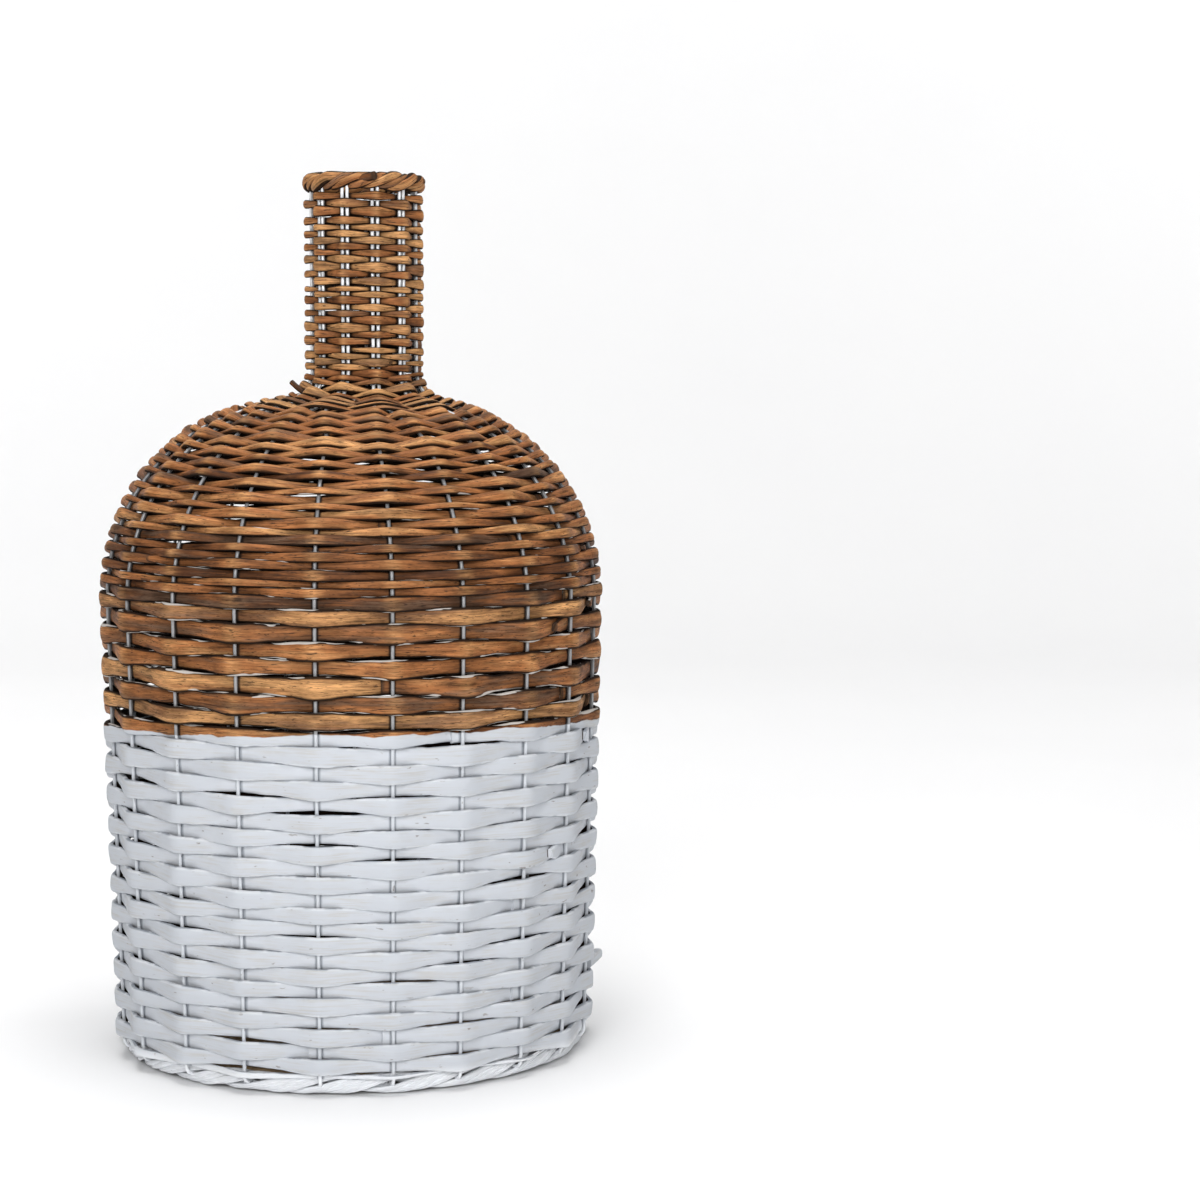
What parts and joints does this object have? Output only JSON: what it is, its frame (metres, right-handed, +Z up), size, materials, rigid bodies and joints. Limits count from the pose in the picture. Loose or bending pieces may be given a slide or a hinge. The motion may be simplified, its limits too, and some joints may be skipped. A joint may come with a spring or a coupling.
{
  "type": "wicker bottle vase",
  "caption": "Bottle-shaped vase woven from willow rods on bent wire stakes, natural brown above and painted white below, with a twisted rim and a twisted foot border.",
  "frame": {"origin": "on the floor under the middle of the body", "axes": "+Z up along the body's axis, -Y towards the front as pictured, +X to the viewer's right"},
  "size_m": [0.3546, 0.3535, 0.61],
  "materials": {
    "galvanised_wire": "galvanised steel wire, white where the paint has covered it",
    "natural_willow": "unpeeled and split willow, satin, brown with darker streaks and knots",
    "painted_willow": "willow brush-painted matt white",
    "base_plywood": "plain plywood"
  },
  "bodies": {
    "root": {"stake_01": "galvanised_wire", "stake_02": "galvanised_wire", "stake_03": "galvanised_wire", "stake_04": "galvanised_wire", "stake_05": "galvanised_wire", "stake_06": "galvanised_wire", "stake_07": "galvanised_wire", "stake_08": "galvanised_wire", "stake_09": "galvanised_wire", "stake_10": "galvanised_wire", "stake_11": "galvanised_wire", "stake_12": "galvanised_wire", "stake_13": "galvanised_wire", "stake_14": "galvanised_wire", "stake_15": "galvanised_wire", "stake_16": "galvanised_wire", "stake_17": "galvanised_wire", "stake_18": "galvanised_wire", "stake_19": "galvanised_wire", "stake_20": "galvanised_wire", "stake_21": "galvanised_wire", "white_rod_01": "painted_willow", "white_rod_02": "painted_willow", "white_rod_03": "painted_willow", "white_rod_04": "painted_willow", "white_rod_05": "painted_willow", "white_rod_06": "painted_willow", "white_rod_07": "painted_willow", "white_rod_08": "painted_willow", "white_rod_09": "painted_willow", "white_rod_10": "painted_willow", "foot_strand_1": "painted_willow", "foot_strand_2": "painted_willow", "wall_rod_01": "natural_willow", "wall_rod_02": "natural_willow", "wall_rod_03": "natural_willow", "shoulder_rod_01": "natural_willow", "shoulder_rod_02": "natural_willow", "shoulder_rod_03": "natural_willow", "shoulder_rod_04": "natural_willow", "shoulder_rod_05": "natural_willow", "shoulder_rod_06": "natural_willow", "shoulder_rod_07": "natural_willow", "shoulder_rod_08": "natural_willow", "shoulder_rod_09": "natural_willow", "shoulder_rod_10": "natural_willow", "neck_rod_01": "natural_willow", "neck_rod_02": "natural_willow", "neck_rod_03": "natural_willow", "neck_rod_04": "natural_willow", "neck_rod_05": "natural_willow", "rim_strand_1": "natural_willow", "rim_strand_2": "natural_willow", "base_panel": "base_plywood"}
  },
  "joints": []
}
